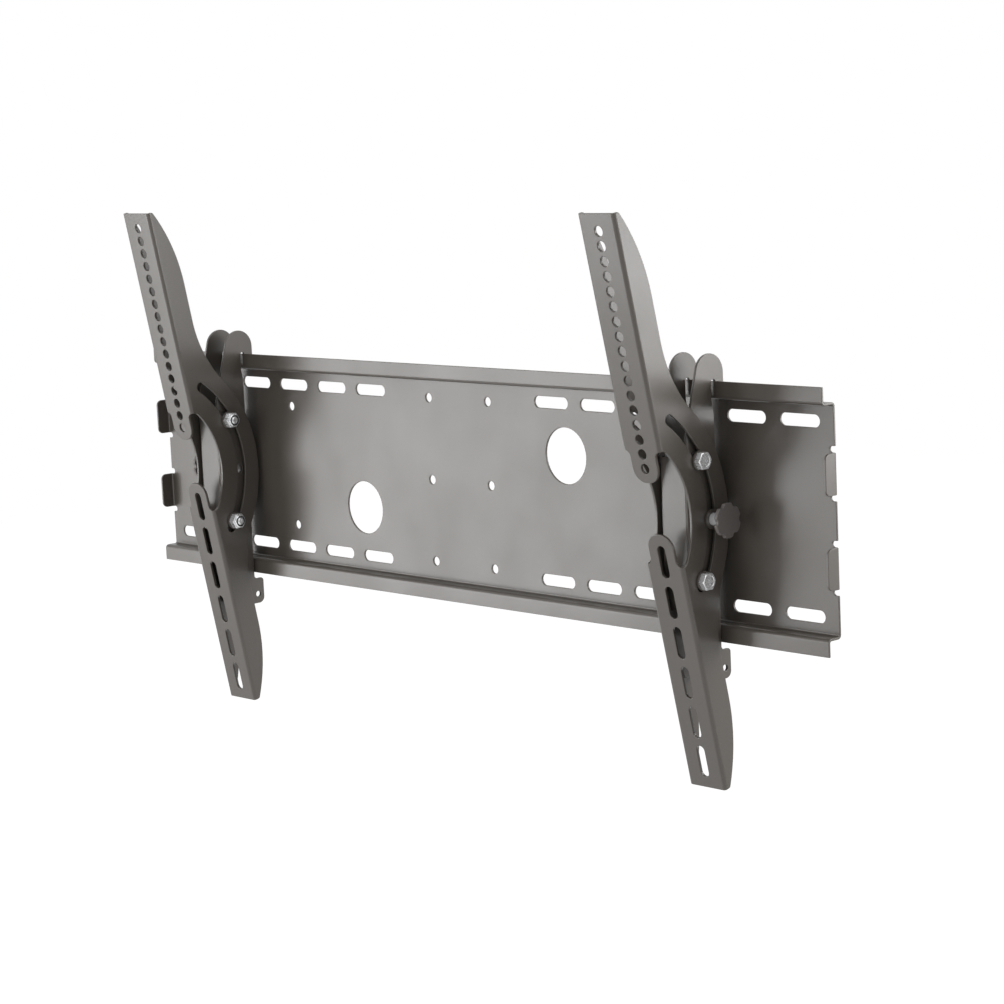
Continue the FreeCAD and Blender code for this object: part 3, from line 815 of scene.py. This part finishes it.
@dataclass
class LockKnobs:
    """Scalloped lock knobs and their shouldered, threaded studs."""

    thread: Thread
    lobes: int = 6
    scallop_radius: float = 3.2 * MM
    scallop_depth: float = 1.9 * MM
    scallop_faces: int = 18
    rim_round: float = 0.5 * MM
    rim_segments: int = 4
    seat_radius: float = 4.1 * MM
    seat_depth: float = 1.8 * MM
    seat_gap: float = 0.1 * MM
    shoulder_radius: float = 5.2 * MM
    shoulder_length: float = 13.2 * MM
    threaded: float = 15.0 * MM
    edge_round: float = 0.3 * MM
    sharp_angle: float = 38.0
    faces: int = 72

    def knob(self, radius: float, height: float) -> bpy.types.Object:
        """Knob with its back at the origin and its face towards +X.

        Args:
            radius: Radius over the lobes, in metres.
            height: Height from its back to its face, in metres.

        Returns:
            The knob, with a seat for its stud.
        """
        floor = self.seat_depth + self.seat_gap
        profile = [(floor, 0), (floor, self.seat_radius), (0, self.seat_radius), (0, radius),
                   (height, radius), (height, 0)]
        knob = Bench.turned(profile, self.faces, "lock_knob")
        centre = radius + self.scallop_radius - self.scallop_depth
        # Turned by half a facet while it is cut, so that no cutter's facet ends beside a lobe's corner.
        half_facet = math.pi / self.scallop_faces
        cut = 4 * height
        for index in range(self.lobes):
            angle = 2 * math.pi * index / self.lobes + half_facet
            bpy.ops.object.select_all(action="DESELECT")
            bpy.ops.mesh.primitive_cylinder_add(
                vertices=self.scallop_faces, radius=self.scallop_radius, depth=cut,
                location=(height, centre * math.cos(angle), centre * math.sin(angle)),
                rotation=(0, math.pi / 2, 0))
            tool = Bench.settle(bpy.context.active_object)
            knob = Bench.combine(knob, tool, "DIFFERENCE")
        knob.data.transform(Matrix.Rotation(-half_facet, 4, "X"))
        return Bench.soften(knob, self.rim_round, self.rim_segments, self.sharp_angle)

    def stud(self, length: float) -> bpy.types.Object:
        """Stud with its seated end at the origin and its threaded end towards -X.

        Args:
            length: Overall length, in metres.

        Returns:
            The stud, with the shoulder that bears on the washer.
        """
        top = -self.seat_depth
        end = top - self.shoulder_length
        inner = self.shoulder_radius - self.edge_round
        shoulder = Bench.turned([(top, 0), (top, inner), (top - self.edge_round, self.shoulder_radius),
                                 (end + self.edge_round, self.shoulder_radius), (end, inner), (end, 0)],
                                self.faces, "stud")
        rod = self.thread.rod(0.0, length, self.threaded, "rod")
        stud = Bench.combine(shoulder, rod, "UNION")
        Bench.take(stud)
        bpy.ops.object.shade_smooth_by_angle(angle=math.radians(self.sharp_angle))
        return stud

    def build(self, stand: Stand) -> None:
        """Model the knob and its stud and copy them to both arms."""
        low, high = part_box("right_knob")
        knob = self.knob((high.z - low.z) / 2, high.x - low.x)
        low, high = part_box("right_knob_stud")
        stud = self.stud(high.x - low.x)
        for side in Side:
            for part, master in (("knob", knob), ("knob_stud", stud)):
                node = f"{side.word}_{part}"
                low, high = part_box(node)
                seat = min(low.x * side.value, high.x * side.value)
                seat -= min(vertex.co.x for vertex in master.data.vertices)
                middle = (low + high) / 2
                place = Vector((side.value * seat, middle.y, middle.z))
                piece = stand.seat(Bench.copy_at(master, f"{node}_made", place, side), node)
                if master is stud:
                    piece.data.materials[0] = stand.finishes.polished
        for master in (knob, stud):
            bpy.data.objects.remove(master)


@dataclass(frozen=True)
class Lamp:
    """A softbox that faces the part: its place, its width and height in metres, and its power in watts."""

    name: str
    place: tuple[float, float, float]
    size: Point
    power: float


LAMPS = (Lamp("key", (-1.637, -1.592, 0.0), (1.0, 1.5), 23.5),
         Lamp("front", (-0.15, -2.3, 0.3), (0.9, 1.3), 11.0),
         Lamp("side", (0.87, 0.39, 0.28), (0.4, 0.7), 5.1),
         Lamp("fill", (2.15, 0.47, 0.45), (0.9, 0.9), 7.6),
         Lamp("top", (0.3, -0.6, 1.9), (1.6, 1.0), 5.0))


@dataclass
class Studio:
    """Camera, lights and pale surroundings."""

    eye: Vector = Vector((1.8072, -1.6175, 0.3309))
    forward: Vector = Vector((-0.7284, 0.6701, -0.1427))
    up: Vector = Vector((-0.0742, 0.1299, 0.9887))
    lens: float = 100.58
    sensor: float = 36.0
    clip: Point = (0.05, 60.0)
    middle: Vector = Vector((0.0, -0.05, -0.05))
    floor_height: float = -1.15
    floor_size: float = 14.0
    floor_colour: Colour = (0.86, 0.86, 0.86, 1.0)
    shadow_share: float = 0.25
    floor_white: float = 1.25
    sky_light: float = 0.45
    open_side: Vector = Vector((0.73, -0.67, 0.1))
    open_light: float = 0.2
    open_from: float = 0.80
    open_to: float = 0.95

    def camera(self) -> None:
        """Set the camera at the photograph's viewing angle."""
        data = bpy.data.cameras.new("camera")
        data.lens = self.lens
        data.sensor_width = self.sensor
        data.sensor_fit = "HORIZONTAL"
        data.clip_start, data.clip_end = self.clip
        camera = bpy.data.objects.new("camera", data)
        bpy.context.scene.collection.objects.link(camera)
        back = -self.forward.normalized()
        right = self.up.cross(back).normalized()
        up = back.cross(right)
        turn = Matrix((right, up, back)).transposed().to_4x4()
        camera.matrix_world = Matrix.Translation(self.eye) @ turn
        bpy.context.scene.camera = camera

    def lights(self) -> None:
        """Set the soft lights, each facing the middle of the part and unseen by the camera."""
        for lamp in LAMPS:
            data = bpy.data.lights.new(lamp.name, "AREA")
            data.shape = "RECTANGLE"
            data.size, data.size_y = lamp.size
            data.energy = lamp.power
            softbox = bpy.data.objects.new(lamp.name, data)
            bpy.context.scene.collection.objects.link(softbox)
            softbox.location = lamp.place
            aim = self.middle - Vector(lamp.place)
            softbox.rotation_euler = aim.to_track_quat("-Z", "Y").to_euler()
            softbox.visible_camera = False

    def largest(self, nodes: bpy.types.Nodes, links: bpy.types.NodeLinks,
                sockets: list[bpy.types.NodeSocket]) -> bpy.types.NodeSocket:
        """Socket with the largest of some values."""
        total = sockets[0]
        for socket in sockets[1:]:
            join = nodes.new("ShaderNodeMath")
            join.operation = "MAXIMUM"
            links.new(total, join.inputs[0])
            links.new(socket, join.inputs[1])
            total = join.outputs[0]
        return total

    def sky(self) -> None:
        """White surroundings that light the part at a plain level, with one open, darker side."""
        world = bpy.data.worlds.new("studio")
        bpy.context.scene.world = world
        world.use_nodes = True
        nodes, links = world.node_tree.nodes, world.node_tree.links
        path = nodes.new("ShaderNodeLightPath").outputs
        towards = nodes.new("ShaderNodeVectorMath")
        towards.operation = "DOT_PRODUCT"
        towards.inputs[1].default_value = self.open_side.normalized()
        links.new(nodes.new("ShaderNodeTexCoord").outputs["Generated"], towards.inputs[0])
        walls = nodes.new("ShaderNodeMapRange")
        walls.interpolation_type = "SMOOTHSTEP"
        walls.inputs["From Min"].default_value = self.open_from
        walls.inputs["From Max"].default_value = self.open_to
        walls.inputs["To Min"].default_value = 1.0
        walls.inputs["To Max"].default_value = self.open_light
        links.new(towards.outputs["Value"], walls.inputs["Value"])
        mirrored = nodes.new("ShaderNodeMath")
        mirrored.operation = "MULTIPLY"
        links.new(path["Is Glossy Ray"], mirrored.inputs[0])
        links.new(walls.outputs["Result"], mirrored.inputs[1])
        seen = [path["Is Camera Ray"], path["Is Transmission Ray"], path["Is Glossy Ray"]]
        lit = nodes.new("ShaderNodeMapRange")
        lit.inputs["To Min"].default_value = self.sky_light
        lit.inputs["To Max"].default_value = 0.0
        links.new(self.largest(nodes, links, seen), lit.inputs["Value"])
        shares = seen[:2] + [mirrored.outputs[0], lit.outputs["Result"]]
        links.new(self.largest(nodes, links, shares), nodes["Background"].inputs["Strength"])
        nodes["Background"].inputs["Color"].default_value = (1.0, 1.0, 1.0, 1.0)

    def floor(self) -> None:
        """Pale floor well below the part, white to the camera apart from soft shadow."""
        bpy.ops.object.select_all(action="DESELECT")
        bpy.ops.mesh.primitive_plane_add(size=self.floor_size, location=(0, 0, self.floor_height))
        floor = Bench.settle(Bench.name(bpy.context.active_object, "floor"))
        material = bpy.data.materials.new("pale_floor")
        material.use_nodes = True
        nodes, links = material.node_tree.nodes, material.node_tree.links
        nodes.clear()
        path = nodes.new("ShaderNodeLightPath").outputs
        matt = nodes.new("ShaderNodeBsdfDiffuse")
        matt.inputs["Color"].default_value = self.floor_colour
        white = nodes.new("ShaderNodeEmission")
        white.inputs["Strength"].default_value = self.floor_white
        mix = nodes.new("ShaderNodeMixShader")
        share = nodes.new("ShaderNodeMath")
        share.operation = "MULTIPLY"
        share.inputs[1].default_value = 1.0 - self.shadow_share
        seen = [path["Is Camera Ray"], path["Is Glossy Ray"], path["Is Transmission Ray"]]
        links.new(self.largest(nodes, links, seen), share.inputs[0])
        links.new(share.outputs[0], mix.inputs[0])
        links.new(matt.outputs[0], mix.inputs[1])
        links.new(white.outputs[0], mix.inputs[2])
        links.new(mix.outputs[0], nodes.new("ShaderNodeOutputMaterial").inputs["Surface"])
        floor.data.materials.append(material)

    def build(self) -> None:
        """Set up the whole studio."""
        bpy.context.scene.view_settings.view_transform = "Standard"
        self.camera()
        self.lights()
        self.sky()
        self.floor()


def main() -> None:
    """Build the pieces, the finishes and the studio."""
    logging.basicConfig(level=logging.INFO, format="%(name)s: %(message)s")
    finishes = Finishes()
    finishes.dress_frame()
    stand = Stand(finishes)
    thread = Thread()
    SheetParts().build(stand)
    Fasteners(thread).build(stand)
    LockKnobs(thread).build(stand)
    Studio().build()


if __name__ == "__main__":
    main()
